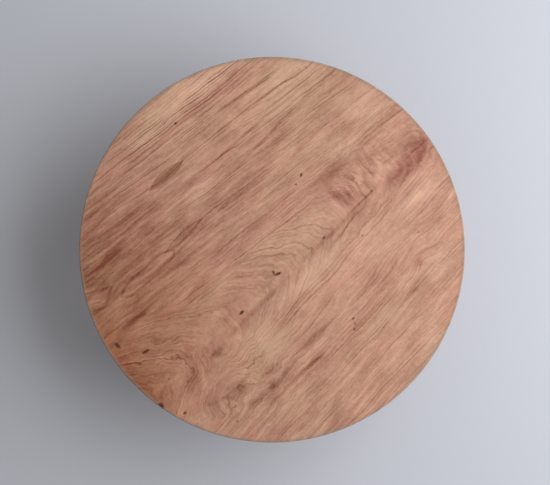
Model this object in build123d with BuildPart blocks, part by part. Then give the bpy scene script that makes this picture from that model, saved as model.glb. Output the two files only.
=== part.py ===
from build123d import *

import os
from math import asin, atan2, cos, degrees, hypot, radians, sin

# Chabudai: a low round table whose legs fold flat under the top.
#
# The top is one round plank. Two deep battens are keyed across its grain with sliding dovetails and keep
# it flat. Each pair of legs is joined by a stretcher and turns on two wooden pivot pins, which run in
# bores through the battens. A leg's head is square on its outer side, so the leg stops upright, and
# round on its inner side, so the leg folds inwards. A hinged prop drops from a cleat under the top into
# a notch in the stretcher and locks the legs open. Lifting the prop lets them fold.
#
# Millimetres. X runs along the plank's grain, Y across it, +Z up. The origin is on the floor, under the
# middle of the top. The rear half (+Y) is modelled and the front half is its mirror image.

# ---- The top -------------------------------------------------------------------------------------
table_height = 265.0
top_diameter = 758.0  # two and a half shaku
top_thickness = 18.0
top_arris = 2.0
rim_lower_chamfer = 4.0

# ---- The battens and the keys that hold them to the top --------------------------------------------
batten_spacing = 400.0  # from middle to middle
batten_width = 30.0
batten_depth = 54.0
batten_length = 566.0
batten_tip_depth = 15.0
batten_scroll_run = 38.0  # length of the shaped end
batten_chamfer = 2.0
key_count = 5
key_pitch = 107.0
key_length = 38.0
key_neck_width = 15.0
key_crown_width = 21.0
key_height = 7.0
key_fit = 0.1

# ---- The leg pairs ---------------------------------------------------------------------------------
pivot_reach = 224.0  # from the middle of the table to the pivot axis
pivot_depth = 30.0  # from the underside of the top to the pivot axis
pivot_pin_diameter = 20.0
pivot_pin_bite = 26.0  # how far the pin goes into the leg
pivot_pin_recess = 2.0  # from the batten's outer face to the pin's end
pivot_clearance = 0.1
leg_thickness = 36.0
leg_batten_gap = 1.0
leg_head_gap = 0.3
leg_chamfer = 2.0
leg_shoulder_drop = 128.0  # from the pivot axis to where the taper starts
foot_width = 26.0
foot_chamfer = 1.5
stretcher_drop = 100.0  # from the pivot axis to the stretcher's middle line
stretcher_height = 44.0
stretcher_thickness = 18.0
stretcher_chamfer = 1.5
arch_rise = 9.0
arch_land = 34.0  # straight part of the lower edge beside each leg
tenon_length = 28.0
tenon_height = 30.0
tenon_thickness = 9.0
peg_width = 6.0  # the pegs are square
glue_fit = 0.05

# ---- The props -------------------------------------------------------------------------------------
hinge_reach = 100.0  # from the middle of the table to the prop's hinge axis
prop_thickness = 12.0
prop_width = 52.0
prop_toe_width = 30.0
prop_root_length = 32.0  # full-width part that carries the hinge
prop_waist_length = 40.0  # run over which it narrows
prop_stow_gap = 1.0
prop_chamfer = 1.5
toe_seat = 3.0  # from the prop's lower face up to the toe's corner
notch_down = 6.5
notch_in = 4.0
notch_clearance = 0.2
notch_side_gap = 0.8
cleat_length = 92.0
cleat_width = 42.0
cleat_chamfer = 3.0
hinge_end_gap = 1.5  # from the hinge axis to the end of the prop and of the cleat

# ---- The butt hinges and the screws ------------------------------------------------------------------
hinge_length = 44.0
leaf_width = 20.0
leaf_thickness = 1.2
leaf_corner_radius = 2.0
knuckle_diameter = 5.5
knuckle_count = 3
knuckle_gap = 0.2
hinge_pin_diameter = 2.5
hinge_pin_stand = 0.6
hinge_pin_clearance = 0.05
leaf_screw_head = 5.0
leaf_screw_shank = 2.6
leaf_screw_length = 9.5
leaf_screw_side = 15.0
leaf_screw_near = 8.5
leaf_screw_far = 14.0
cleat_screw_head = 7.6
cleat_screw_shank = 3.8
cleat_screw_bite = 10.0  # how far it goes into the top
cleat_screw_side = 35.0
batten_screw_head = 9.0
batten_screw_shank = 4.5
batten_screw_bite = 12.0  # how far it goes into the top
batten_screw_wood = 22.0  # wood left between its head and the top
screw_slot_width = 0.9
screw_slot_depth = 0.7
screw_land = 0.1  # straight edge of the head, above its cone
screw_sides = 12  # screws and their holes are many-sided, to keep the model light
screw_fit = 0.05

# ---- Places that follow from the sizes ---------------------------------------------------------------
underside = table_height - top_thickness
batten_middle = batten_spacing / 2
key_places = [key_pitch * (n - (key_count - 1) / 2) for n in range(key_count)]
batten_screw_place = key_length / 2 + (key_pitch - 2 * key_length) / 2

pivot_height = underside - pivot_depth
leg_outer_face = batten_middle - batten_width / 2 - leg_batten_gap
leg_inner_face = leg_outer_face - leg_thickness
leg_middle = leg_outer_face - leg_thickness / 2
leg_back_face = pivot_reach + leg_thickness / 2
head_radius = pivot_depth - leg_head_gap
stretcher_middle = pivot_height - stretcher_drop
stretcher_top = stretcher_middle + stretcher_height / 2
stretcher_front = pivot_reach - stretcher_thickness / 2

knuckle_radius = knuckle_diameter / 2
hinge_height = underside - prop_stow_gap - prop_thickness - knuckle_radius

# The toe's corner stands in the notch. The prop's slope follows from it and from the hinge axis.
toe_y = stretcher_front + notch_in - notch_clearance
toe_z = stretcher_top - notch_down + notch_clearance
toe_distance = hypot(toe_y - hinge_reach, hinge_height - toe_z)
toe_lift = knuckle_radius + toe_seat
prop_slope = degrees(atan2(hinge_height - toe_z, toe_y - hinge_reach) + asin(toe_lift / toe_distance))
prop_length = toe_distance + prop_thickness

# Each half of a hinge is drawn in a plane whose origin is on the hinge axis, whose Y points away from
# the axis and whose Z points away from the wood.
cleat_plane = Plane((0, hinge_reach, hinge_height), x_dir=(1, 0, 0), z_dir=(0, 0, -1))
prop_plane = Plane(
    (0, hinge_reach, hinge_height),
    x_dir=(-1, 0, 0),
    z_dir=(0, -sin(radians(prop_slope)), -cos(radians(prop_slope))),
)
leaf_screw_places = [
    (-leaf_screw_side, leaf_screw_near),
    (0, leaf_screw_far),
    (leaf_screw_side, leaf_screw_near),
]


def key_profile(middle, fit):
    """Draws a dovetail key's section, with its neck at the underside of the top."""
    neck = key_neck_width / 2 + fit
    crown = key_crown_width / 2 + fit
    Polygon(
        (middle - neck, underside),
        (middle + neck, underside),
        (middle + crown, underside + key_height + fit),
        (middle - crown, underside + key_height + fit),
        align=None,
    )


def ogee(start, end, way):
    """Draws a double curve that leaves start and reaches end in the same direction."""
    middle = ((start[0] + end[0]) / 2, (start[1] + end[1]) / 2)
    TangentArc(start, middle, tangent=way)
    TangentArc(middle, end, tangent=(-way[0], -way[1]), tangent_from_first=False)


def screw_shape(head, shank, length, fit=0.0):
    """A countersunk screw, or with a fit its hole. The head's face is on the XY plane, the point below."""
    cone = (head - shank) / 2
    with BuildPart() as shape:
        with BuildSketch():
            RegularPolygon(head / 2 + fit, screw_sides)
        extrude(amount=-cone - screw_land)
        chamfer(shape.faces().sort_by(Axis.Z)[0].edges(), cone)
        with BuildSketch():
            RegularPolygon(shank / 2 + fit, screw_sides)
        extrude(amount=-length - fit)
    return shape.part


def wood_screw(head, shank, length):
    """The same screw with its slot."""
    with BuildPart() as screw:
        add(screw_shape(head, shank, length))
        with BuildSketch():
            Rectangle(1.2 * head, screw_slot_width)
        extrude(amount=-screw_slot_depth, mode=Mode.SUBTRACT)
    return screw.part


def hinge_leaf(plane, first_knuckle):
    """Half a butt hinge: every second knuckle, from the first one given, and the plate behind them."""
    pitch = hinge_length / knuckle_count
    middles = [(n + 0.5) * pitch - hinge_length / 2 for n in range(knuckle_count)]
    own = middles[first_knuckle::2]
    others = middles[1 - first_knuckle :: 2]
    with BuildPart() as leaf:
        with BuildSketch(plane.offset(-knuckle_radius)) as plate:
            Rectangle(hinge_length, leaf_width, align=(Align.CENTER, Align.MIN))
            fillet(plate.vertices().group_by(Axis.Y)[-1], leaf_corner_radius)
            with Locations(*[(x, 0) for x in others]):
                Rectangle(pitch + knuckle_gap, 2 * (knuckle_radius + knuckle_gap), mode=Mode.SUBTRACT)
        extrude(amount=leaf_thickness)
        with Locations(plane):
            with Locations(*[(x, 0, 0) for x in own]):
                Cylinder(knuckle_radius, pitch - knuckle_gap, rotation=(0, 90, 0))
            Cylinder(
                hinge_pin_diameter / 2 + hinge_pin_clearance,
                hinge_length + 1,
                rotation=(0, 90, 0),
                mode=Mode.SUBTRACT,
            )
        with Locations(plane.offset(leaf_thickness - knuckle_radius)):
            with Locations(*leaf_screw_places):
                add(leaf_screw_hole, mode=Mode.SUBTRACT)
    return leaf.part


leaf_screw_hole = screw_shape(leaf_screw_head, leaf_screw_shank, leaf_screw_length, screw_fit)
cleat_screw_length = prop_thickness + prop_stow_gap + cleat_screw_bite
cleat_screw_hole = screw_shape(cleat_screw_head, cleat_screw_shank, cleat_screw_length, screw_fit)
cleat_middle = hinge_reach - hinge_end_gap - cleat_width / 2
cleat_screw_planes = [
    Plane((x, cleat_middle, hinge_height + knuckle_radius), z_dir=(0, 0, -1))
    for x in (-cleat_screw_side, cleat_screw_side)
]
batten_screw_length = batten_screw_wood + batten_screw_bite
batten_screw_hole = screw_shape(batten_screw_head, batten_screw_shank, batten_screw_length, screw_fit)
batten_screw_planes = [
    Plane((x, batten_screw_place, underside - batten_screw_wood), z_dir=(0, 0, -1))
    for x in (-batten_middle, batten_middle)
]

# ======================================= The top =======================================
# A round plank with a fine arris above and a wider one below. Each batten's keys drop into wide pockets in its underside
# and then slide across into the dovetailed part of the socket.
with BuildPart() as top:
    with BuildSketch(Plane.XY.offset(underside)):
        Circle(top_diameter / 2)
    extrude(amount=top_thickness)
    chamfer(top.faces().sort_by(Axis.Z)[-1].edges(), top_arris)
    chamfer(top.faces().sort_by(Axis.Z)[0].edges(), rim_lower_chamfer)
    for middle in (-batten_middle, batten_middle):
        for y in key_places:
            with BuildSketch(Plane.XZ.offset(-y)):
                key_profile(middle, key_fit)
            extrude(amount=key_length / 2 + key_fit, both=True, mode=Mode.SUBTRACT)
            with BuildSketch(Plane.XY.offset(underside)):
                with Locations((middle, y - key_length)):
                    Rectangle(key_crown_width + 2 * key_fit, key_length + 2 * key_fit)
            extrude(amount=key_height + key_fit, mode=Mode.SUBTRACT)
    with Locations(*batten_screw_planes):
        add(batten_screw_hole, mode=Mode.SUBTRACT)
    for plane in cleat_screw_planes:
        with Locations(plane, Plane((plane.origin.X, -cleat_middle, plane.origin.Z), z_dir=(0, 0, -1))):
            add(cleat_screw_hole, mode=Mode.SUBTRACT)

# ======================================= The battens =======================================
# Each has scrolled ends, five dovetail keys along its upper face, and a bore at each end for the legs'
# pivot pins. One screw, deep in a counterbore, keeps it from sliding back.
with BuildPart() as right_batten:
    with BuildSketch(Plane.YZ.offset(batten_middle)):
        with BuildLine():
            end = batten_length / 2
            scroll = end - batten_scroll_run
            Polyline((0, underside), (end, underside), (end, underside - batten_tip_depth))
            ogee((end, underside - batten_tip_depth), (scroll, underside - batten_depth), (-1, 0))
            Line((scroll, underside - batten_depth), (0, underside - batten_depth))
            mirror(about=Plane.YZ)
        make_face()
    extrude(amount=batten_width / 2, both=True)
    side_edges = right_batten.faces().filter_by(Axis.X).edges()
    chamfer(side_edges.filter_by(lambda edge: edge.center().Z < underside - 1), batten_chamfer)
    for y in key_places:
        with BuildSketch(Plane.XZ.offset(-y)):
            key_profile(batten_middle, 0)
        extrude(amount=key_length / 2, both=True)
    with BuildSketch(Plane.YZ.offset(batten_middle)):
        with Locations((-pivot_reach, pivot_height), (pivot_reach, pivot_height)):
            Circle(pivot_pin_diameter / 2 + pivot_clearance)
    extrude(amount=batten_width, both=True, mode=Mode.SUBTRACT)
    with BuildSketch(Plane.XY.offset(underside - batten_screw_wood)):
        with Locations((batten_middle, batten_screw_place)):
            Circle(batten_screw_head / 2 + screw_fit)
    extrude(amount=-batten_depth, mode=Mode.SUBTRACT)
    with Locations(batten_screw_planes[1]):
        add(batten_screw_hole, mode=Mode.SUBTRACT)

with BuildPart() as left_batten:
    mirror(right_batten.part, about=Plane.YZ)

with BuildPart() as batten_screws:
    with Locations(*batten_screw_planes):
        add(wood_screw(batten_screw_head, batten_screw_shank, batten_screw_length))

# ======================================= The leg pairs =======================================
# A leg is square down to its shoulder, then tapers on its two inner sides to the foot.
with BuildPart() as rear_right_leg:
    with BuildSketch() as foot:
        with Locations((leg_outer_face, leg_back_face)):
            Rectangle(foot_width, foot_width, align=(Align.MAX, Align.MAX))
        chamfer(foot.vertices(), leg_chamfer)
    with BuildSketch(Plane.XY.offset(pivot_height - leg_shoulder_drop)) as shoulder:
        with Locations((leg_outer_face, leg_back_face)):
            Rectangle(leg_thickness, leg_thickness, align=(Align.MAX, Align.MAX))
        chamfer(shoulder.vertices(), leg_chamfer)
    loft(ruled=True)
    extrude(shoulder.sketch, amount=leg_shoulder_drop + head_radius)
    chamfer(rear_right_leg.faces().sort_by(Axis.Z)[0].edges(), foot_chamfer)
    # The head's inner corner follows a circle about the pivot, so it clears the top as the leg folds.
    with BuildSketch(Plane.YZ.offset(leg_middle)):
        with Locations((pivot_reach, pivot_height)):
            Rectangle(leg_thickness, 2 * head_radius, align=(Align.MAX, Align.MIN))
            Circle(head_radius, mode=Mode.SUBTRACT)
    extrude(amount=leg_thickness, both=True, mode=Mode.SUBTRACT)
    # The blind bore for the pivot pin, the mortise for the stretcher, and the peg's hole through both.
    with BuildSketch(Plane.YZ.offset(leg_outer_face)):
        with Locations((pivot_reach, pivot_height)):
            Circle(pivot_pin_diameter / 2 + glue_fit)
    extrude(amount=-pivot_pin_bite - glue_fit, mode=Mode.SUBTRACT)
    with BuildSketch(Plane.YZ.offset(leg_inner_face)):
        with Locations((pivot_reach, stretcher_middle)):
            Rectangle(tenon_thickness + 2 * glue_fit, tenon_height + 2 * glue_fit)
    extrude(amount=tenon_length + glue_fit, mode=Mode.SUBTRACT)
    with BuildSketch(Plane.XZ.offset(-pivot_reach)):
        with Locations((leg_inner_face + tenon_length / 2, stretcher_middle)):
            Rectangle(peg_width + 2 * glue_fit, peg_width + 2 * glue_fit)
    extrude(amount=leg_thickness, both=True, mode=Mode.SUBTRACT)

with BuildPart() as rear_left_leg:
    mirror(rear_right_leg.part, about=Plane.YZ)

# The pins are glued in the legs and turn in the battens.
with BuildPart() as rear_pivot_pins:
    with BuildSketch(Plane.YZ.offset(leg_outer_face - pivot_pin_bite)):
        with Locations((pivot_reach, pivot_height)):
            Circle(pivot_pin_diameter / 2)
    extrude(amount=pivot_pin_bite + leg_batten_gap + batten_width - pivot_pin_recess)
    chamfer(rear_pivot_pins.faces().sort_by(Axis.X)[-1].edges(), 1.0)
    mirror(about=Plane.YZ)

# The stretcher is arched below and tenoned into both legs. The prop's toe stands in its notch.
with BuildPart() as rear_stretcher:
    with BuildSketch(Plane.XZ.offset(-pivot_reach)):
        with BuildLine():
            low = stretcher_top - stretcher_height
            arch_end = leg_inner_face - arch_land
            Polyline((0, stretcher_top), (leg_inner_face, stretcher_top), (leg_inner_face, low), (arch_end, low))
            ThreePointArc((arch_end, low), (0, low + arch_rise), (-arch_end, low))
            Polyline((-arch_end, low), (-leg_inner_face, low), (-leg_inner_face, stretcher_top), (0, stretcher_top))
        make_face()
    extrude(amount=stretcher_thickness / 2, both=True)
    long_edges = rear_stretcher.faces().filter_by(Axis.Y).edges()
    chamfer(long_edges.filter_by(lambda edge: abs(edge.center().X) < leg_inner_face - 1), stretcher_chamfer)
    with BuildSketch(Plane.YZ):
        with Locations((pivot_reach, stretcher_middle)):
            Rectangle(tenon_thickness, tenon_height)
    extrude(amount=leg_inner_face + tenon_length, both=True)
    with BuildSketch(Plane.XY.offset(stretcher_top - notch_down)):
        with Locations((0, stretcher_front + notch_in)):
            Rectangle(prop_toe_width + 2 * notch_side_gap, stretcher_thickness, align=(Align.CENTER, Align.MAX))
    extrude(amount=2 * notch_down, mode=Mode.SUBTRACT)
    with BuildSketch(Plane.XZ.offset(-pivot_reach)):
        peg_x = leg_inner_face + tenon_length / 2
        with Locations((-peg_x, stretcher_middle), (peg_x, stretcher_middle)):
            Rectangle(peg_width + 2 * glue_fit, peg_width + 2 * glue_fit)
    extrude(amount=stretcher_thickness, both=True, mode=Mode.SUBTRACT)

with BuildPart() as rear_tenon_pegs:
    with BuildSketch(Plane.XZ.offset(-pivot_reach)):
        with Locations((-peg_x, stretcher_middle), (peg_x, stretcher_middle)):
            Rectangle(peg_width, peg_width)
    extrude(amount=leg_thickness / 2, both=True)

# ======================================= The props =======================================
# A cleat under the top carries each prop's hinge, level with the prop when that lies folded away.
with BuildPart() as rear_cleat:
    with BuildSketch(cleat_plane.offset(-knuckle_radius)):
        with Locations((0, hinge_end_gap)):
            Rectangle(cleat_length, cleat_width, align=(Align.CENTER, Align.MIN))
    extrude(amount=-prop_thickness - prop_stow_gap)
    chamfer(rear_cleat.faces().sort_by(Axis.Z)[0].edges().sort_by(Axis.Y)[:-1], cleat_chamfer)
    with Locations(*cleat_screw_planes):
        add(cleat_screw_hole, mode=Mode.SUBTRACT)
    with Locations(cleat_plane.offset(leaf_thickness - knuckle_radius)):
        with Locations(*leaf_screw_places):
            add(leaf_screw_hole, mode=Mode.SUBTRACT)

with BuildPart() as rear_cleat_screws:
    with Locations(*cleat_screw_planes):
        add(wood_screw(cleat_screw_head, cleat_screw_shank, cleat_screw_length))

# The prop is a thin board, wide at its hinge and narrow at its toe. The toe is cut level and plumb, so
# that it stands square in the stretcher's notch.
with BuildPart() as rear_prop:
    with BuildSketch(prop_plane.offset(-knuckle_radius)):
        with BuildLine():
            root = prop_root_length
            neck = prop_root_length + prop_waist_length
            Polyline((0, hinge_end_gap), (prop_width / 2, hinge_end_gap), (prop_width / 2, root))
            ogee((prop_width / 2, root), (prop_toe_width / 2, neck), (0, 1))
            Polyline((prop_toe_width / 2, neck), (prop_toe_width / 2, prop_length), (0, prop_length))
            mirror(about=Plane.YZ)
        make_face()
    extrude(amount=-prop_thickness)
    board_edges = rear_prop.faces().filter_by(prop_plane).edges()
    chamfer(board_edges.filter_by(lambda edge: abs(edge.center().X) > 1), prop_chamfer)
    with BuildSketch(Plane.YZ):
        with Locations((toe_y, toe_z)):
            Rectangle(3 * prop_thickness, 6 * prop_thickness, align=(Align.MIN, Align.CENTER))
            Rectangle(3 * prop_thickness, 3 * prop_thickness, align=(Align.CENTER, Align.MAX))
    extrude(amount=prop_width, both=True, mode=Mode.SUBTRACT)
    with Locations(prop_plane.offset(leaf_thickness - knuckle_radius)):
        with Locations(*leaf_screw_places):
            add(leaf_screw_hole, mode=Mode.SUBTRACT)

# ======================================= The butt hinges =======================================
# The fixed leaf has the outer knuckles and holds the pin, and the moving leaf turns on it.
with BuildPart() as rear_fixed_leaf:
    add(hinge_leaf(cleat_plane, 0))

with BuildPart() as rear_moving_leaf:
    add(hinge_leaf(prop_plane, 1))

with BuildPart() as rear_hinge_pin:
    with Locations(cleat_plane):
        Cylinder(hinge_pin_diameter / 2, hinge_length + 2 * hinge_pin_stand, rotation=(0, 90, 0))

leaf_screw = wood_screw(leaf_screw_head, leaf_screw_shank, leaf_screw_length)

with BuildPart() as rear_fixed_leaf_screws:
    with Locations(cleat_plane.offset(leaf_thickness - knuckle_radius)):
        with Locations(*leaf_screw_places):
            add(leaf_screw)

with BuildPart() as rear_moving_leaf_screws:
    with Locations(prop_plane.offset(leaf_thickness - knuckle_radius)):
        with Locations(*leaf_screw_places):
            add(leaf_screw)

# ======================================= The pieces =======================================
os.makedirs("parts", exist_ok=True)

single_pieces = {
    "top": top,
    "left_batten": left_batten,
    "right_batten": right_batten,
    "batten_screws": batten_screws,
}
for label, piece in single_pieces.items():
    piece.part.label = label
    export_step(piece.part, f"parts/{label}.step")

rear_pieces = {
    "left_leg": rear_left_leg,
    "right_leg": rear_right_leg,
    "pivot_pins": rear_pivot_pins,
    "stretcher": rear_stretcher,
    "tenon_pegs": rear_tenon_pegs,
    "cleat": rear_cleat,
    "cleat_screws": rear_cleat_screws,
    "prop": rear_prop,
    "fixed_leaf": rear_fixed_leaf,
    "fixed_leaf_screws": rear_fixed_leaf_screws,
    "moving_leaf": rear_moving_leaf,
    "moving_leaf_screws": rear_moving_leaf_screws,
    "hinge_pin": rear_hinge_pin,
}
for label, piece in rear_pieces.items():
    with BuildPart() as front_piece:
        mirror(piece.part, about=Plane.XZ)
    piece.part.label = f"rear_{label}"
    front_piece.part.label = f"front_{label}"
    export_step(piece.part, f"parts/rear_{label}.step")
    export_step(front_piece.part, f"parts/front_{label}.step")
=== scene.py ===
from math import cos, pi, radians, sin

import bmesh
import bpy
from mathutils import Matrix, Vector


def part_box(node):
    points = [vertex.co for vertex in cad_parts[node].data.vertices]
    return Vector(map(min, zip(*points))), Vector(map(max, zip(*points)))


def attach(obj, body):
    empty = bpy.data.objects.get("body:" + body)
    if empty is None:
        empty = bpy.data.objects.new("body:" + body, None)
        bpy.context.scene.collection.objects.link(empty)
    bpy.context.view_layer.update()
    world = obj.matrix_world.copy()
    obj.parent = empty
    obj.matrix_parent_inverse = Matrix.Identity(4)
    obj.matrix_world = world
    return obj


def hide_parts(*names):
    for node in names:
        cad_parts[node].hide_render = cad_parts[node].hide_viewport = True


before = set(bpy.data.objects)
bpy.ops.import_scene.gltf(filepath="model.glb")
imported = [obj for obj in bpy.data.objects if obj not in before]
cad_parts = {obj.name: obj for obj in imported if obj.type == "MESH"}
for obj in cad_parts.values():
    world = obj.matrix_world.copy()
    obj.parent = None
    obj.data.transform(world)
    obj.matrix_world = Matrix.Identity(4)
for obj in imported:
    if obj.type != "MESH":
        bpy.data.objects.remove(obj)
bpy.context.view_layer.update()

# ---- Round top -------------------------------------------------------------------------------------
# One wide flat-sawn plank of keyaki, Japanese zelkova, sawn round, planed, sanded and rubbed with thin
# oil. The heart of the log ran lengthwise just under the face, so the rings curl along the middle and
# close up into fine straight lines towards both sides.
TOP_RADIUS = 0.3789
TOP_THICKNESS = 0.018
ARRIS = 0.0022
LOWER_ARRIS = 0.0040
SIDES_OF_CIRCLE = 256
STEPS_OF_ARRIS = 5
SAME_HEIGHT = 1e-5
LEVEL = 0.999  # upright part of a level face's normal

# Metres to millimetres, in which every pattern is worked out.
TO_MM = (1000, 1000, 1000)

# Where a Mix node keeps its two colours and its mixed colour.
COLOUR_A = 6
COLOUR_B = 7
MIXED = 2


def linear(hex_colour):
    """An sRGB hex colour as a linear RGBA value."""
    channels = [int(hex_colour[n : n + 2], 16) / 255 for n in (1, 3, 5)]
    return tuple(c / 12.92 if c <= 0.04045 else ((c + 0.055) / 1.055) ** 2.4 for c in channels) + (1.0,)


def per_mm(*size):
    """The scale that gives a pattern its size in millimetres."""
    return tuple(1 / side for side in size)


def new_material(name):
    """An empty node material."""
    material = bpy.data.materials.new(name)
    material.use_nodes = True
    material.node_tree.nodes.clear()
    return material


def put(material, kind, inputs=None, out=0, **settings):
    """Adds a node with its settings, fills its inputs with values or links, and returns one output.

    An input goes by its name, or by its place where a node's names repeat, as in Math and Mix.
    """
    node = material.node_tree.nodes.new("ShaderNode" + kind)
    for name, value in settings.items():
        setattr(node, name, value)
    for key, value in (inputs or {}).items():
        if isinstance(value, bpy.types.NodeSocket):
            material.node_tree.links.new(value, node.inputs[key])
        else:
            node.inputs[key].default_value = value
    return node.outputs[out] if node.outputs else None


def add_object(name, data):
    """A new object in the scene."""
    thing = bpy.data.objects.new(name, data)
    bpy.context.scene.collection.objects.link(thing)
    return thing


THROUGH = 1e6  # mm: a mark goes right through the wood


def soft_spots(wood, mm, total, spots):
    """Adds soft spots to a running total: along, across, half length, half width, turn, amount."""
    for along, across, half_length, half_width, turn, amount in spots:
        spot = {"Location": (along, across, 0), "Rotation": (0, 0, radians(turn))}
        spot |= {"Vector": mm, "Scale": (half_length, half_width, THROUGH)}
        near = put(wood, "Mapping", spot, vector_type="TEXTURE")
        near = put(wood, "TexGradient", {"Vector": near}, "Fac", gradient_type="SPHERICAL")
        near = put(wood, "MapRange", {"Value": near, "To Max": amount}, interpolation_type="SMOOTHSTEP")
        total = put(wood, "Math", {0: total, 1: near}, operation="ADD")
    return total


GROWTH_SPELL = 26  # mm of growth in which wide years give way to narrow ones
GROWTH_DRIFT = 9.7  # mm that this moves a ring


def ring_lines(wood, mm, shell, ring):
    """The lines, the slower shading and the fibre that follow one set of rings.

    Each year differs in width and in how dark its line is, and a line fades in and out along the grain.
    The real pores are 0.2 mm wide and 3 mm long; they are drawn coarser so that they show.
    """
    years = put(wood, "Math", {0: shell, 1: 1 / GROWTH_SPELL}, operation="MULTIPLY")
    years = put(wood, "TexNoise", {"W": years, "Scale": 1.0, "Detail": 1.0}, noise_dimensions="1D")
    years = put(wood, "Math", {0: years, 1: GROWTH_DRIFT / ring}, operation="MULTIPLY")
    years = put(wood, "Math", {0: shell, 1: 1 / ring, 2: years}, operation="MULTIPLY_ADD")
    year = put(wood, "Math", {0: years}, operation="FRACT")
    autumn = {"Value": year, "From Min": 0.30, "From Max": 0.84}
    autumn = put(wood, "MapRange", autumn, interpolation_type="SMOOTHSTEP")
    next_spring = {"Value": year, "From Min": 1.0, "From Max": 0.86}
    next_spring = put(wood, "MapRange", next_spring, interpolation_type="SMOOTHSTEP")
    line = put(wood, "Math", {0: autumn, 1: next_spring}, operation="MULTIPLY")

    # A few years are far darker than the rest.
    strong = put(wood, "Math", {0: years}, operation="FLOOR")
    strong = put(wood, "TexWhiteNoise", {"W": strong}, "Value", noise_dimensions="1D")
    strong = put(wood, "Math", {0: strong, 1: 4.0}, operation="POWER")
    strong = put(wood, "Math", {0: strong, 1: 0.26}, operation="ADD")
    line = put(wood, "Math", {0: line, 1: strong}, operation="MULTIPLY")

    along = put(wood, "SeparateXYZ", {0: mm})
    into = put(wood, "SeparateXYZ", {0: mm}, "Z")
    flow = put(wood, "CombineXYZ", {"X": along, "Y": shell, "Z": into})
    grains = []
    for length, width, detail in (
        (100, 9, 2.0),  # where a line fades
        (190, 30, 2.5),  # bands
        (64, 6.5, 4.0),  # streaks
        (7, 2.1, 3.0),  # fibre and pores
    ):
        drawn = put(wood, "Mapping", {"Vector": flow, "Scale": per_mm(length, width, 90)})
        grains.append(put(wood, "TexNoise", {"Vector": drawn, "Scale": 1.0, "Detail": detail}))
    fade, bands, streaks, fibre = grains
    fade = put(wood, "MapRange", {"Value": fade, "From Min": 0.34, "From Max": 0.64, "To Min": 0.22})
    line = put(wood, "Math", {0: line, 1: fade}, operation="MULTIPLY")
    return line, bands, streaks, fibre


def flame_bars(wood, mm, flames):
    """Short bars across the grain, where a branch joined and the fibres stand up and catch the light."""
    bars = {"Vector": mm, "Rotation": (0, 0, 0.2), "Scale": per_mm(9, 36, 40)}
    bars = put(wood, "Mapping", bars)
    bars = put(wood, "TexNoise", {"Vector": bars, "Scale": 1.0, "Detail": 2.0, "Distortion": 0.4})
    bars = put(wood, "Math", {0: bars, 1: -0.5}, operation="ADD")
    return put(wood, "Math", {0: bars, 1: soft_spots(wood, mm, 0.0, flames)}, operation="MULTIPLY")


LENS_WOBBLE = (0, 9, 0)  # mm across the grain


def grazed_rings(wood, mm, tight, tone, lenses):
    """Lenses, where the saw just grazed a ring and left an outline with pointed or blunt ends.

    Each is given by its place along and across, half length, half width, how blunt its ends are, and
    how much darker its fill and its outline are than the wood around.
    """
    bent = put(wood, "VectorMath", {0: tight, 1: LENS_WOBBLE, 2: mm}, operation="MULTIPLY_ADD")
    for along, across, half_length, half_width, blunt, fill, outline in lenses:
        lens = {"Location": (along, across, 0), "Scale": (half_length, half_width, THROUGH)}
        lens = put(wood, "Mapping", lens | {"Vector": bent}, vector_type="TEXTURE")
        lens = put(wood, "VectorMath", {0: lens}, operation="ABSOLUTE")
        far = put(wood, "Math", {0: put(wood, "SeparateXYZ", {0: lens}), 1: blunt}, operation="POWER")
        far = put(wood, "Math", {0: far, 1: put(wood, "SeparateXYZ", {0: lens}, "Y")}, operation="ADD")
        for start, stop, amount in ((1.12, 0.88, outline), (0.84, 0.45, fill - outline)):
            rise = {"Value": far, "From Min": start, "From Max": stop, "To Max": amount}
            rise = put(wood, "MapRange", rise, interpolation_type="SMOOTHSTEP")
            tone = put(wood, "Math", {0: tone, 1: rise}, operation="ADD")
    return tone


RIM_WEAR_AND_SHADE_WIDTH = 6  # mm in which the wear and the painted shade of the rim set in


def worn_and_shaded_rim(wood, mm, streaks, colour, rim_darkened_from):
    """Hands and sleeves have rubbed the oil off the rim and greyed its arris, more in some places.
    The grey is darker than wear alone: painted shade that damps the highlight the light puts on the
    arris.
    """
    rim = put(wood, "Mapping", {"Vector": mm, "Scale": (1, 1, 0)})
    rim = put(wood, "VectorMath", {0: rim}, "Value", operation="LENGTH")
    rim = {"Value": rim, "From Min": rim_darkened_from, "From Max": rim_darkened_from + RIM_WEAR_AND_SHADE_WIDTH}
    rim = put(wood, "MapRange", rim, interpolation_type="SMOOTHSTEP")
    rub_and_shade = {"Value": streaks, "From Min": 0.36, "From Max": 0.64, "To Min": 0.30, "To Max": 0.62}
    rim = put(wood, "Math", {0: rim, 1: put(wood, "MapRange", rub_and_shade)}, operation="MULTIPLY")
    # Grey-brown of wear, made darker as painted shade on the arris.
    greyed = {0: rim, COLOUR_A: colour, COLOUR_B: linear("#8F7C6B")}
    return put(wood, "Mix", greyed, MIXED, data_type="RGBA")


EVEN_STIR = 7.0  # mm by which all rings waver, curls or not
TONE_SHARES = (0.50, 0.88, 0.95)  # of the bands, the streaks and the clouds
FINE_SHARES = (0.44, 0.50, -0.94)  # of the lines and the fibre, with one even step towards pale
END_GRAIN_DARKER = 0.32
FLAME_CONTRAST = 1.3
CONTRAST = 0.81
BASE_TONE = 0.098
ROUGHNESS_SPREAD = 0.12


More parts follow.
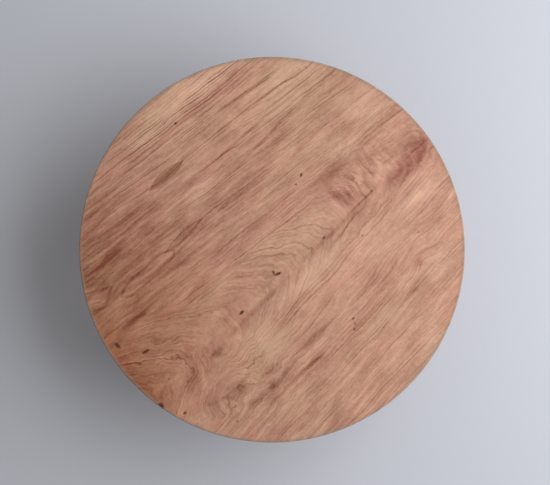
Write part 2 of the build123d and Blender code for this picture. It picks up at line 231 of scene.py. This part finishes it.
def sawn_wood(
    name,
    turn=(0, 0, 0),
    heart=(0, 0),
    taper=0.03,
    wander=6.0,
    ring=4.4,
    lumps=(),
    curls=(),
    arch_heart=(0, 0),
    arch_taper=0.0,
    arches=(),
    crisp=(),
    lenses=(),
    shades=(),
    flames=(),
    knots=(),
    rosy=(),
    browned_and_shaded=(),
    pale="#E6BC9E",
    deep="#7C492E",
    pale_rose="#E9B199",
    deep_rose="#7F402E",
    knot_colour="#56290F",
    roughness=0.60,
    rim_darkened_from=0.0,
):
    """Sawn, planed and oiled ring-porous wood, worked out in millimetres with the grain along X.

    The rings are shells round the heart, whose place across and into the wood is given. A taper and a
    slow wander bend them, lumps close them into eyes, and curls stir them. Inside the spots of the
    arches they are pointed arches round a heart of their own. Crisp spots make their lines stronger.
    Lenses, shades, flames and knots mark single places, and so do the rosy spots, tan where the amount
    is below zero, and the brown spots: the wood's own brown at some, painted shade on a side away from
    the light at others.
    """
    wood = new_material(name)
    mm = {"Vector": put(wood, "TexCoord", out="Object"), "Rotation": turn, "Scale": TO_MM}
    mm = put(wood, "Mapping", mm)
    along = put(wood, "SeparateXYZ", {0: mm})
    slow = put(wood, "Mapping", {"Vector": mm, "Scale": per_mm(210, 60, 60)})
    slow = put(wood, "TexNoise", {"Vector": slow, "Scale": 1.0, "Detail": 2.5, "Roughness": 0.42})
    tight = put(wood, "Mapping", {"Vector": mm, "Scale": per_mm(46, 40, 60)})
    tight = put(wood, "TexNoise", {"Vector": tight, "Scale": 1.0, "Detail": 3.0, "Roughness": 0.55})
    tight = put(wood, "Math", {0: tight, 1: 0.5}, operation="SUBTRACT")
    stir = soft_spots(wood, mm, EVEN_STIR, curls)

    # Distance from each heart, tapered and bent.
    hearts = [(*heart, taper)]
    if arches:
        hearts.append((*arch_heart, arch_taper))
    grown = []
    for across, depth, slope in hearts:
        shell = put(wood, "Mapping", {"Vector": mm, "Location": (0, -across, -depth), "Scale": (0, 1, 1)})
        shell = put(wood, "VectorMath", {0: shell}, "Value", operation="LENGTH")
        shell = put(wood, "Math", {0: along, 1: slope, 2: shell}, operation="MULTIPLY_ADD")
        shell = put(wood, "Math", {0: slow, 1: 2 * wander, 2: shell}, operation="MULTIPLY_ADD")
        shell = soft_spots(wood, mm, shell, lumps)
        shell = put(wood, "Math", {0: tight, 1: stir, 2: shell}, operation="MULTIPLY_ADD")
        grown.append(ring_lines(wood, mm, shell, ring))
    line, bands, streaks, fibre = grown[0]
    if arches:
        # The arches stand wider apart than straight rings, so all but their fibre is drawn fainter.
        fainter = ((0.60, 0.0), (0.75, 0.125), (0.70, 0.15), (1.0, 0.0))
        arched = [
            put(wood, "Math", {0: drawn, 1: share, 2: rest}, operation="MULTIPLY_ADD")
            for drawn, (share, rest) in zip(grown[1], fainter)
        ]
        inside = {"Value": soft_spots(wood, mm, 0.0, arches), "From Min": 0.12, "From Max": 0.42}
        inside = put(wood, "MapRange", inside, interpolation_type="SMOOTHSTEP")
        line, bands, streaks, fibre = (
            put(wood, "Mix", {0: inside, 2: one, 3: other}) for one, other in zip(grown[0], arched)
        )
    crisper = put(wood, "Math", {0: soft_spots(wood, mm, 1.0, crisp), 1: line}, operation="MULTIPLY")

    # Cloudy patches cross the grain. The sawn ends of the fibres drink more oil and are darker.
    cloud = put(wood, "Mapping", {"Vector": mm, "Scale": per_mm(62, 36, 50)})
    cloud = put(wood, "TexNoise", {"Vector": cloud, "Scale": 1.0, "Detail": 5.0, "Roughness": 0.78})
    tone = put(wood, "CombineXYZ", {"X": bands, "Y": streaks, "Z": cloud})
    tone = put(wood, "VectorMath", {0: tone, 1: TONE_SHARES}, "Value", operation="DOT_PRODUCT")
    fine = put(wood, "CombineXYZ", {"X": crisper, "Y": fibre, "Z": 1.0})
    fine = put(wood, "VectorMath", {0: fine, 1: FINE_SHARES}, "Value", operation="DOT_PRODUCT")
    tone = put(wood, "Math", {0: tone, 1: fine}, operation="ADD")
    end = put(wood, "Mapping", {"Vector": put(wood, "TexCoord", out="Normal"), "Rotation": turn})
    end = put(wood, "Math", {0: put(wood, "SeparateXYZ", {0: end}), 1: 4.0}, operation="POWER")
    tone = put(wood, "Math", {0: end, 1: END_GRAIN_DARKER, 2: tone}, operation="MULTIPLY_ADD")

    # A shade is itself drawn out into streaks.
    shade = soft_spots(wood, mm, 0.0, shades)
    streaked = put(wood, "Math", {0: streaks, 1: 0.8, 2: 0.6}, operation="MULTIPLY_ADD")
    tone = put(wood, "Math", {0: shade, 1: streaked, 2: tone}, operation="MULTIPLY_ADD")
    if flames:
        bars = flame_bars(wood, mm, flames)
        tone = put(wood, "Math", {0: bars, 1: FLAME_CONTRAST, 2: tone}, operation="MULTIPLY_ADD")
    if lenses:
        tone = grazed_rings(wood, mm, tight, tone, lenses)
    tone = put(wood, "Math", {0: tone, 1: CONTRAST, 2: BASE_TONE}, operation="MULTIPLY_ADD")

    # Tan wood and rosy wood lie in long tongues beside each other.
    tongue = put(wood, "Mapping", {"Vector": mm, "Scale": per_mm(160, 34, 50)})
    tongue = put(wood, "TexNoise", {"Vector": tongue, "Scale": 1.0, "Detail": 2.0, "Distortion": 0.6})
    tongue = {"Value": tongue, "From Min": 0.36, "From Max": 0.64, "To Min": 0.25, "To Max": 0.75}
    tongue = soft_spots(wood, mm, put(wood, "MapRange", tongue), rosy)
    tan = {0: tone, COLOUR_A: linear(pale), COLOUR_B: linear(deep)}
    tan = put(wood, "Mix", tan, MIXED, data_type="RGBA")
    rose = {0: tone, COLOUR_A: linear(pale_rose), COLOUR_B: linear(deep_rose)}
    rose = put(wood, "Mix", rose, MIXED, data_type="RGBA")
    colour = put(wood, "Mix", {0: tongue, COLOUR_A: tan, COLOUR_B: rose}, MIXED, data_type="RGBA")
    # The brown spots multiply the colour by a warm tint: the wood's own brown at some, painted shade on a
    # side away from the light at others.
    brown = {0: soft_spots(wood, mm, 0.0, browned_and_shaded), COLOUR_A: colour, COLOUR_B: linear("#EFDCC2")}
    colour = put(wood, "Mix", brown, MIXED, data_type="RGBA", blend_type="MULTIPLY")
    if rim_darkened_from:
        colour = worn_and_shaded_rim(wood, mm, streaks, colour, rim_darkened_from)
    if knots:
        hole = soft_spots(wood, mm, 0.0, knots)
        hole = put(wood, "Math", {0: fibre, 1: -0.5, 2: hole}, operation="MULTIPLY_ADD")
        hole = put(wood, "MapRange", {"Value": hole, "From Max": 0.85}, interpolation_type="SMOOTHSTEP")
        knot = {0: hole, COLOUR_A: colour, COLOUR_B: linear(knot_colour)}
        colour = put(wood, "Mix", knot, MIXED, data_type="RGBA")

    # The pores are duller and lie deeper, and the late wood of each year stands proud.
    rough = {"To Min": roughness - ROUGHNESS_SPREAD, "To Max": roughness + ROUGHNESS_SPREAD}
    rough = put(wood, "MapRange", {"Value": fibre, **rough})
    raised = put(wood, "Math", {0: fibre, 1: -0.6, 2: line}, operation="MULTIPLY_ADD")
    raised = put(wood, "Bump", {"Height": raised, "Strength": 0.3, "Distance": 0.0002})
    shine = {"Roughness": rough, "Normal": raised, "IOR": 1.48, "Specular IOR Level": 0.4}
    shine = put(wood, "BsdfPrincipled", {"Base Color": colour, **shine})
    put(wood, "OutputMaterial", {"Surface": shine})
    return wood


# The surface is dry satin: fine lines, soft mottling, and pin knots where twigs left the stem.
top_wood = sawn_wood(
    "sanded_oiled_keyaki_plank",
    heart=(-48, 208),
    taper=0.080,
    wander=9.0,
    ring=5.4,
    lumps=[
        (-56, 248, 62, 20, 0, 8),
        (-110, 138, 72, 16, 0, 6),
        (-200, 131, 100, 26, 0, 8),
        (-304, 159, 44, 40, 0, 10),
        (240, 214, 150, 22, 0, 8),
        (-256, -138, 88, 56, -10, 34),
        (205, -212, 46, 26, 0, 14),
        (190, -165, 120, 34, 0, 12),
        (60, -150, 130, 26, 0, 9),
    ],
    curls=[
        (-250, -90, 200, 120, -20, 36),
        (-290, 10, 150, 110, 0, 22),
        (-190, -190, 150, 90, 0, 36),
        (-40, -40, 220, 70, 0, 24),
        (-175, -45, 90, 60, 0, 26),
        (215, 0, 160, 75, 0, 30),
        (345, -45, 110, 60, 0, 20),
        (205, -215, 90, 46, 0, 20),
    ],
    arch_heart=(-46, 214),
    arch_taper=0.38,
    arches=[
        (-30, -40, 240, 95, 2, 1.0),
        (-300, -40, 200, 170, 0, 1.0),
        (205, -12, 150, 74, 0, 0.9),
    ],
    lenses=[
        (-56, 248, 45, 11, 2.4, 0.30, 0.38),  # brown, filled
        (-110, 138, 52, 8, 2.0, 0.12, 0.30),
        (-14, 126, 18, 5, 2.0, 0.22, 0.16),
        (-212, 129, 72, 15, 5.0, -0.03, 0.24),
        (-320, 157, 42, 22, 1.4, -0.06, 0.20),
        (-236, -138, 68, 18, 3.5, 0.02, 0.12),
    ],
    shades=[
        (-270, 215, 260, 200, -30, 0.40),  # painted shade: darker on the side away from the light, here and in the next three rows, out to that side's rim and towards the bottom
        (-310, 10, 190, 150, 0, 0.18),
        (-385, -10, 50, 220, 0, 0.24),
        (-200, -250, 190, 110, -20, 0.08),
        (-340, 140, 30, 18, 0, 0.30),
        (-292, -84, 44, 26, 20, 0.18),
        (-268, -94, 38, 9, 60, -0.22),
        (300, -62, 90, 24, 2, 0.26),  # heart streak, widest at the edge
        (350, -42, 90, 54, 0, 0.25),
        (345, -44, 60, 3, 0, 0.20),
        (195, -48, 60, 4, 2, 0.44),
        (110, -55, 150, 8, 2, 0.24),
        (-100, -66, 130, 9, 2, 0.22),
        (172, -16, 22, 48, 6, 0.34),  # where the branch left
        (190, 33, 80, 18, -2, 0.36),
        (-215, -76, 26, 12, 0, 0.55),  # patches on the side painted darker
        (-245, 206, 75, 9, 2, 0.34),
        (-235, 178, 90, 22, 0, -0.30),
        (-260, 243, 70, 18, 0, -0.16),
        (-245, 115, 100, 44, 0, -0.10),
        (-158, -48, 15, 44, 0, 0.26),
        (-315, 172, 36, 24, 0, -0.22),
        (-300, -150, 50, 50, 0, 0.10),
        (140, -302, 70, 8, 12, 0.22),  # patches towards one edge
        (197, -212, 16, 20, 0, 0.22),
        (152, -246, 22, 7, -20, 0.16),
        (230, -226, 26, 12, 0, -0.18),
        (-140, 218, 90, 30, 0, 0.14),
        (180, 262, 150, 5, -7, 0.40),  # single dark growth lines
        (200, 232, 150, 5, -6, 0.40),
        (110, 203, 180, 6, -2, 0.34),
        (150, 172, 150, 5, 4, 0.30),
        (250, 205, 120, 4, -5, 0.30),
        (-285, 81, 66, 10, 0, 0.40),
        (-66, -183, 90, 10, 3, 0.44),
        (-85, -217, 66, 10, 3, 0.44),
        (-232, -158, 30, 22, 0, 0.34),  # dark and pale places in the swirls
        (-225, -199, 28, 11, 0, 0.36),
        (-176, -197, 20, 12, 0, 0.34),
        (-143, -194, 20, 9, 0, 0.30),
        (-160, -172, 26, 14, 0, 0.22),
        (-182, -138, 30, 14, 0, -0.22),
        (-190, -222, 24, 14, 0, 0.16),
        (140, -206, 150, 20, 2, 0.16),  # wide, faint bands
        (0, 120, 260, 110, 0, 0.12),
        (-20, 176, 66, 20, 0, -0.20),  # pale places
        (120, 335, 280, 44, -4, -0.40),
        (245, 232, 150, 64, 0, -0.27),
        (325, 95, 70, 60, 0, -0.20),
        (85, -15, 62, 32, 0, -0.18),
        (-135, -122, 76, 46, -30, -0.26),
        (0, -90, 180, 26, 3, -0.16),
        (90, -138, 210, 56, 2, -0.17),
        (290, -122, 70, 28, 0, -0.42),
        (240, -215, 130, 70, 0, -0.14),
        (270, -34, 50, 13, 0, -0.26),
        (130, -320, 130, 40, 12, -0.12),
    ],
    crisp=[
        (60, 306, 320, 46, -4, 3.6),
        (230, 200, 200, 60, -3, 0.8),
        (-10, -108, 170, 34, 2, 0.8),
        (350, -40, 80, 60, 0, -1.0),
        (100, -190, 320, 110, 0, 0.3),
        (20, -12, 230, 90, 0, 0.8),
        (-160, -45, 46, 60, 0, -0.7),
        (-310, -20, 170, 130, 0, 1.6),
        (-250, 150, 230, 130, 0, -0.7),
        (-320, 120, 80, 130, 0, -0.5),
        (-225, -145, 120, 90, 0, 0.8),
    ],
    flames=[(225, -14, 140, 58, 3, 1.3), (20, 10, 120, 34, 8, 0.3)],
    knots=[
        (-23, -43, 12, 5, -18, 1.5),  # two arms of one knot
        (-28, -35, 9, 5, 60, 1.1),
        (-127, -51, 12, 6, 0, 1.3),
        (91, -51, 9, 6, 15, 1.0),
        (27, 311, 7, 5, 0, 1.1),
        (-351, 65, 7, 15, 4, 1.3),
        (-318, 19, 14, 5, -12, 1.7),
        (141, 70, 8, 5, 30, 1.15),
        (121, 63, 6, 5, 0, 0.9),
        (-367, -80, 10, 12, 0, 1.4),
        (-342, -122, 8, 6, 0, 1.1),
        (-277, -204, 6, 5, 0, 0.8),
        (27, -207, 7, 5, 0, 0.95),
        (15, -224, 8, 5, 0, 0.9),
        (23, -217, 6, 5, 0, 0.85),
        (150, -99, 6, 5, 0, 0.75),
        (236, -168, 6, 5, 0, 0.7),
        (222, -46, 6, 5, 0, 0.9),
    ],
    rosy=[
        (325, -48, 120, 46, 0, 0.7),
        (176, -12, 44, 60, 0, 0.4),
        (-230, 206, 140, 26, 0, 0.3),
        (40, 200, 110, 26, 0, 0.3),
        (-300, 80, 80, 22, 0, 0.1),
        (-290, 190, 90, 70, 0, -0.3),
        (265, 205, 160, 130, -30, -0.8),  # tan places
        (60, 350, 240, 50, 0, -0.5),
        (-130, -130, 90, 60, 0, -0.5),
        (50, -25, 150, 60, 0, -0.4),
        (-56, 248, 70, 16, 0, -0.4),
        (100, -350, 120, 40, 0, -0.4),
    ],
    browned_and_shaded=[
        # painted shade: warmer and darker on the side away from the light, and more at that side's rim
        (-290, 90, 280, 330, 0, 0.60),
        (-375, 20, 80, 240, 0, 0.9),
        # the wood's own brown, in the brown lens
        (-56, 248, 60, 14, 0, 0.4),
    ],
    # rim wear and painted shade from 370 mm out
    rim_darkened_from=370,
)

plank = bmesh.new()
bmesh.ops.create_circle(plank, cap_ends=True, segments=SIDES_OF_CIRCLE, radius=TOP_RADIUS)
face_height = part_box("top")[1].z
under_height = face_height - TOP_THICKNESS
bmesh.ops.translate(plank, verts=plank.verts, vec=(0, 0, under_height))
face = bmesh.ops.extrude_face_region(plank, geom=plank.faces[:])["geom"]
face = [v for v in face if isinstance(v, bmesh.types.BMVert)]
bmesh.ops.translate(plank, verts=face, vec=(0, 0, TOP_THICKNESS))
for height, width in ((face_height, ARRIS), (under_height, LOWER_ARRIS)):
    edge = [e for e in plank.edges if all(abs(v.co.z - height) < SAME_HEIGHT for v in e.verts)]
    round_over = {"segments": STEPS_OF_ARRIS, "profile": 0.5, "affect": "EDGES", "material": -1}
    bmesh.ops.bevel(plank, geom=edge, offset=width, **round_over)
bmesh.ops.recalc_face_normals(plank, faces=plank.faces)
plank_mesh = bpy.data.meshes.new("round_plank")
plank.to_mesh(plank_mesh)
plank.free()
for polygon in plank_mesh.polygons:
    polygon.use_smooth = abs(polygon.normal.z) < LEVEL
plank_mesh.materials.append(top_wood)
round_plank = add_object("round_plank", plank_mesh)
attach(round_plank, "table")
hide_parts("top")

# ---- Battens and their screws ----------------------------------------------------------------------
# Two boards of the same keyaki on edge, cut to scrolls at both ends and slid on dovetail keys into
# sockets under the top, across its grain. One slotted zinc-plated steel screw in each keeps it from
# sliding back.


def finish_nodes(material, *names):
    """Gives carried-over pieces their material."""
    for name in names:
        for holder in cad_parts[name].material_slots:
            holder.material = material


# Never in daylight, so redder and cleaner than the top, with the same fine lines and dry satin face.
under_top_colours = {
    "pale": "#D2A17C",
    "deep": "#82492F",
    "pale_rose": "#CC9A78",
    "deep_rose": "#7E4430",
}
batten_wood = sawn_wood(
    "planed_oiled_keyaki_battens",
    turn=(0, 0, -pi / 2),
    heart=(30, 60),
    wander=5.0,
    ring=4.0,
    **under_top_colours,
)
finish_nodes(batten_wood, "left_batten", "right_batten")

# Dull zinc on steel: grey, a little clouded, with patches of darker grime and fine marks of turning.
screw_steel = new_material("zinc_plated_steel_screws")
screw_mm = put(screw_steel, "TexCoord", out="Object")
screw_mm = put(screw_steel, "Mapping", {"Vector": screw_mm, "Scale": TO_MM})
clouding = put(screw_steel, "TexNoise", {"Vector": screw_mm, "Scale": 0.9, "Detail": 3.0})
turning = put(screw_steel, "Mapping", {"Vector": screw_mm, "Scale": per_mm(2, 2, 0.2)})
turning = put(screw_steel, "TexNoise", {"Vector": turning, "Scale": 1.0, "Detail": 2.0})
grime = put(screw_steel, "MapRange", {"Value": clouding, "From Min": 0.42, "From Max": 0.66})
zinc = {0: grime, COLOUR_A: linear("#A7A59D"), COLOUR_B: linear("#6E6A62")}
zinc = put(screw_steel, "Mix", zinc, MIXED, data_type="RGBA")
zinc_rough = put(screw_steel, "MapRange", {"Value": clouding, "To Min": 0.34, "To Max": 0.56})
zinc_bump = put(screw_steel, "Bump", {"Height": turning, "Strength": 0.2, "Distance": 0.0001})
zinc = {"Base Color": zinc, "Roughness": zinc_rough, "Normal": zinc_bump, "Metallic": 1.0}
put(screw_steel, "OutputMaterial", {"Surface": put(screw_steel, "BsdfPrincipled", zinc)})
finish_nodes(screw_steel, "batten_screws")

# ---- Cleats and their screws -----------------------------------------------------------------------
# A short keyaki block under the top for each prop, with its corners taken off by plane. It is glued, and
# held by two countersunk steel screws. It is as red and as clean as the battens, and closer grown, so
# its lines stand nearer together.
cleat_wood = sawn_wood(
    "planed_oiled_keyaki_cleats",
    heart=(0, 190),
    taper=0.05,
    wander=4.0,
    ring=3.6,
    **under_top_colours,
)
finish_nodes(cleat_wood, "front_cleat", "rear_cleat")
finish_nodes(screw_steel, "front_cleat_screws", "rear_cleat_screws")

# ---- Butt hinges -----------------------------------------------------------------------------------
# Stamped sheet-brass leaves with rolled knuckles on a drawn brass pin, three screws in each leaf. The
# brass has gone brown with handling and stays brighter where it rubs. Spots of tarnish and the faint
# lines of the rolling mill break up its shine.
hinge_brass = new_material("stamped_sheet_brass_aged")
brass_mm = put(hinge_brass, "TexCoord", out="Object")
brass_mm = put(hinge_brass, "Mapping", {"Vector": brass_mm, "Scale": TO_MM})
tarnish = {"Vector": brass_mm, "Scale": 0.16, "Detail": 4.0, "Roughness": 0.6}
tarnish = put(hinge_brass, "TexNoise", tarnish)
spots = put(hinge_brass, "TexNoise", {"Vector": brass_mm, "Scale": 0.8, "Detail": 2.0})
rolled = put(hinge_brass, "Mapping", {"Vector": brass_mm, "Scale": per_mm(12.5, 0.625, 0.625)})
rolled = put(hinge_brass, "TexNoise", {"Vector": rolled, "Scale": 1.0, "Detail": 3.0})
brown = put(hinge_brass, "MapRange", {"Value": tarnish, "From Min": 0.36, "From Max": 0.62})
brass = {0: brown, COLOUR_A: linear("#CC9F5E"), COLOUR_B: linear("#8E663C")}
brass = put(hinge_brass, "Mix", brass, MIXED, data_type="RGBA")
dark = put(hinge_brass, "MapRange", {"Value": spots, "From Min": 0.56, "From Max": 0.72, "To Max": 0.55})
brass = {0: dark, COLOUR_A: brass, COLOUR_B: linear("#5C4426")}
brass = put(hinge_brass, "Mix", brass, MIXED, data_type="RGBA")
brass_rough = put(hinge_brass, "Math", {0: tarnish, 1: 0.45, 2: 0.12}, operation="MULTIPLY_ADD")
brass_bump = put(hinge_brass, "Bump", {"Height": rolled, "Strength": 0.25, "Distance": 0.0001})
brass = {"Base Color": brass, "Roughness": brass_rough, "Normal": brass_bump, "Metallic": 1.0}
put(hinge_brass, "OutputMaterial", {"Surface": put(hinge_brass, "BsdfPrincipled", brass)})
for side in ("front", "rear"):
    finish_nodes(hinge_brass, f"{side}_fixed_leaf", f"{side}_moving_leaf", f"{side}_hinge_pin")
    finish_nodes(screw_steel, f"{side}_fixed_leaf_screws", f"{side}_moving_leaf_screws")

# ---- Props -----------------------------------------------------------------------------------------
# A waisted keyaki board hinged to each cleat. Its toe is cut level and plumb and drops into the notch of
# the stretcher. The grain runs down the slope.
PROP_SLOPE = radians(41.812)

# Handled more than the battens, so a little browner and warmer, with the same dry satin face.
handled_colours = {
    "pale": "#D6A580",
    "deep": "#875035",
    "pale_rose": "#D09E7C",
    "deep_rose": "#824A34",
}
for side, way in (("front", -1), ("rear", 1)):
    prop_wood = sawn_wood(
        f"planed_oiled_keyaki_{side}_prop",
        turn=(way * PROP_SLOPE, 0, -pi / 2),
        heart=(24, 150),
        wander=5.0,
        taper=0.06,
        ring=3.8,
        **handled_colours,
    )
    finish_nodes(prop_wood, f"{side}_prop")

# ---- Leg pairs -------------------------------------------------------------------------------------
# Square keyaki legs, thinned towards the foot from the shoulder down, with an arched stretcher tenoned
# into both. Square pegs lock the tenons, and turned pins through battens and legs are the pivots.

# Hands and oil have made the faces satin; the feet are darker, where the floor has scuffed them.
leg_wood = sawn_wood(
    "planed_oiled_keyaki_legs",
    turn=(0, pi / 2, 0),
    taper=0.02,
    ring=3.8,
    shades=[(0, 224, 26, 60, 0, 0.45), (0, -224, 26, 60, 0, 0.45)],
    roughness=0.54,
    **handled_colours,
)
# The same satin, with lively lines that run from leg to leg.
stretcher_wood = sawn_wood(
    "planed_oiled_keyaki_stretchers",
    heart=(60, 20),
    taper=0.04,
    wander=7.0,
    ring=3.8,
    roughness=0.54,
    **handled_colours,
)
# White oak pegs and turned pivot pins: browner and harder than the keyaki, burnished where they turn.
pin_wood = sawn_wood(
    "turned_white_oak_pins",
    heart=(230, 210),
    taper=0.01,
    wander=1.5,
    ring=2.2,
    pale="#C69B68",
    deep="#6E4626",
    pale_rose="#BF9263",
    deep_rose="#6A4224",
    roughness=0.36,
)
for side in ("front", "rear"):
    finish_nodes(leg_wood, f"{side}_left_leg", f"{side}_right_leg")
    finish_nodes(stretcher_wood, f"{side}_stretcher")
    finish_nodes(pin_wood, f"{side}_tenon_pegs", f"{side}_pivot_pins")

# ---- Floor, light and camera -----------------------------------------------------------------------
# A plain pale floor, one large soft light on one side as from a window, and weak light all round. Away
# from the table the floor and the room behind it are one pale colour. The camera looks straight down on
# the top, with the grain running from lower left to upper right.
FLOOR_HALF_SIDE = 30.0
FLOOR_FADES_FROM = 0.75
FLOOR_FADES_TO = 2.4
PALE_FLOOR = "#C6CAD4"
PALE_AIR = "#C9CCD4"


def seen_by_eye(material):
    """1 where the eye looks at a place, straight or by way of a shine or glass, and 0 for other light."""
    seen = put(material, "LightPath", out="Is Camera Ray")
    for way in ("Is Glossy Ray", "Is Transmission Ray"):
        ray = put(material, "LightPath", out=way)
        seen = put(material, "Math", {0: seen, 1: ray}, operation="MAXIMUM")
    return seen


bed = bmesh.new()
bmesh.ops.create_grid(bed, x_segments=1, y_segments=1, size=FLOOR_HALF_SIDE)
bed_mesh = bpy.data.meshes.new("floor")
bed.to_mesh(bed_mesh)
bed.free()
floor = add_object("floor", bed_mesh)
floor_finish = new_material("pale_floor")
matt = put(floor_finish, "BsdfPrincipled", {"Base Color": linear(PALE_FLOOR), "Roughness": 0.8})
away = put(floor_finish, "TexCoord", out="Object")
away = put(floor_finish, "VectorMath", {0: away}, "Value", operation="LENGTH")
away = {"Value": away, "From Min": FLOOR_FADES_FROM, "From Max": FLOOR_FADES_TO}
away = put(floor_finish, "MapRange", away, interpolation_type="SMOOTHSTEP")
away = put(floor_finish, "Math", {0: away, 1: seen_by_eye(floor_finish)}, operation="MULTIPLY")
pale_air = put(floor_finish, "Emission", {"Color": linear(PALE_AIR), "Strength": 1.0})
matt = put(floor_finish, "MixShader", {0: away, 1: matt, 2: pale_air})
put(floor_finish, "OutputMaterial", {"Surface": matt})
bed_mesh.materials.append(floor_finish)

GRAIN_ANGLE = radians(42.3)
view_right = Vector((cos(GRAIN_ANGLE), -sin(GRAIN_ANGLE), 0))
view_up = Vector((sin(GRAIN_ANGLE), cos(GRAIN_ANGLE), 0))

# The table stands a few millimetres off the middle of the view.
CAMERA_ABOVE_TOP = 2.6
CAMERA_RIGHT = 0.0058
CAMERA_UP = 0.0142
SENSOR_WIDTH = 36.0
VIEW_PIXELS = 550
TOP_RADIUS_PIXELS = 193.0
lens = bpy.data.cameras.new("camera")
lens.sensor_width = SENSOR_WIDTH
lens.lens = SENSOR_WIDTH / VIEW_PIXELS * TOP_RADIUS_PIXELS / TOP_RADIUS * CAMERA_ABOVE_TOP
camera = add_object("camera", lens)
camera_height = Vector((0, 0, face_height + CAMERA_ABOVE_TOP))
camera.location = view_right * CAMERA_RIGHT + view_up * CAMERA_UP + camera_height
camera.rotation_euler = (0, 0, -GRAIN_ANGLE)
bpy.context.scene.camera = camera

# The light comes from the right, so the floor falls off a little on the left.
WINDOW_RIGHT = 1.83
WINDOW_UP = 0.30
WINDOW_HEIGHT = Vector((0, 0, 1.70))
WINDOW_AIM = Vector((0, 0, 0.2))
WINDOW_SIDE = 3.0
WINDOW_ENERGY = 84
WINDOW_COLOUR = (0.985, 0.99, 1.0)
window = bpy.data.lights.new("window", "AREA")
window.shape = "RECTANGLE"
window.size = WINDOW_SIDE
window.size_y = WINDOW_SIDE
window.energy = WINDOW_ENERGY
window.color = WINDOW_COLOUR
window_lamp = add_object("window", window)
window_lamp.location = view_right * WINDOW_RIGHT + view_up * WINDOW_UP + WINDOW_HEIGHT
window_lamp.rotation_euler = (WINDOW_AIM - window_lamp.location).to_track_quat("-Z", "Y").to_euler()

# Warm walls throw weak light on the table from all round, and the eye sees them as pale air.
ROOM_LIGHT = 0.36
ROOM_COLOUR = "#EEEAE4"
room = bpy.data.worlds.new("room")
room.use_nodes = True
room.node_tree.nodes.clear()
dim = put(room, "Background", {"Color": linear(ROOM_COLOUR), "Strength": ROOM_LIGHT})
pale = put(room, "Background", {"Color": linear(PALE_AIR), "Strength": 1.0})
walls = put(room, "MixShader", {0: seen_by_eye(room), 1: dim, 2: pale})
put(room, "OutputWorld", {"Surface": walls})
bpy.context.scene.world = room
bpy.context.scene.view_settings.view_transform = "Standard"
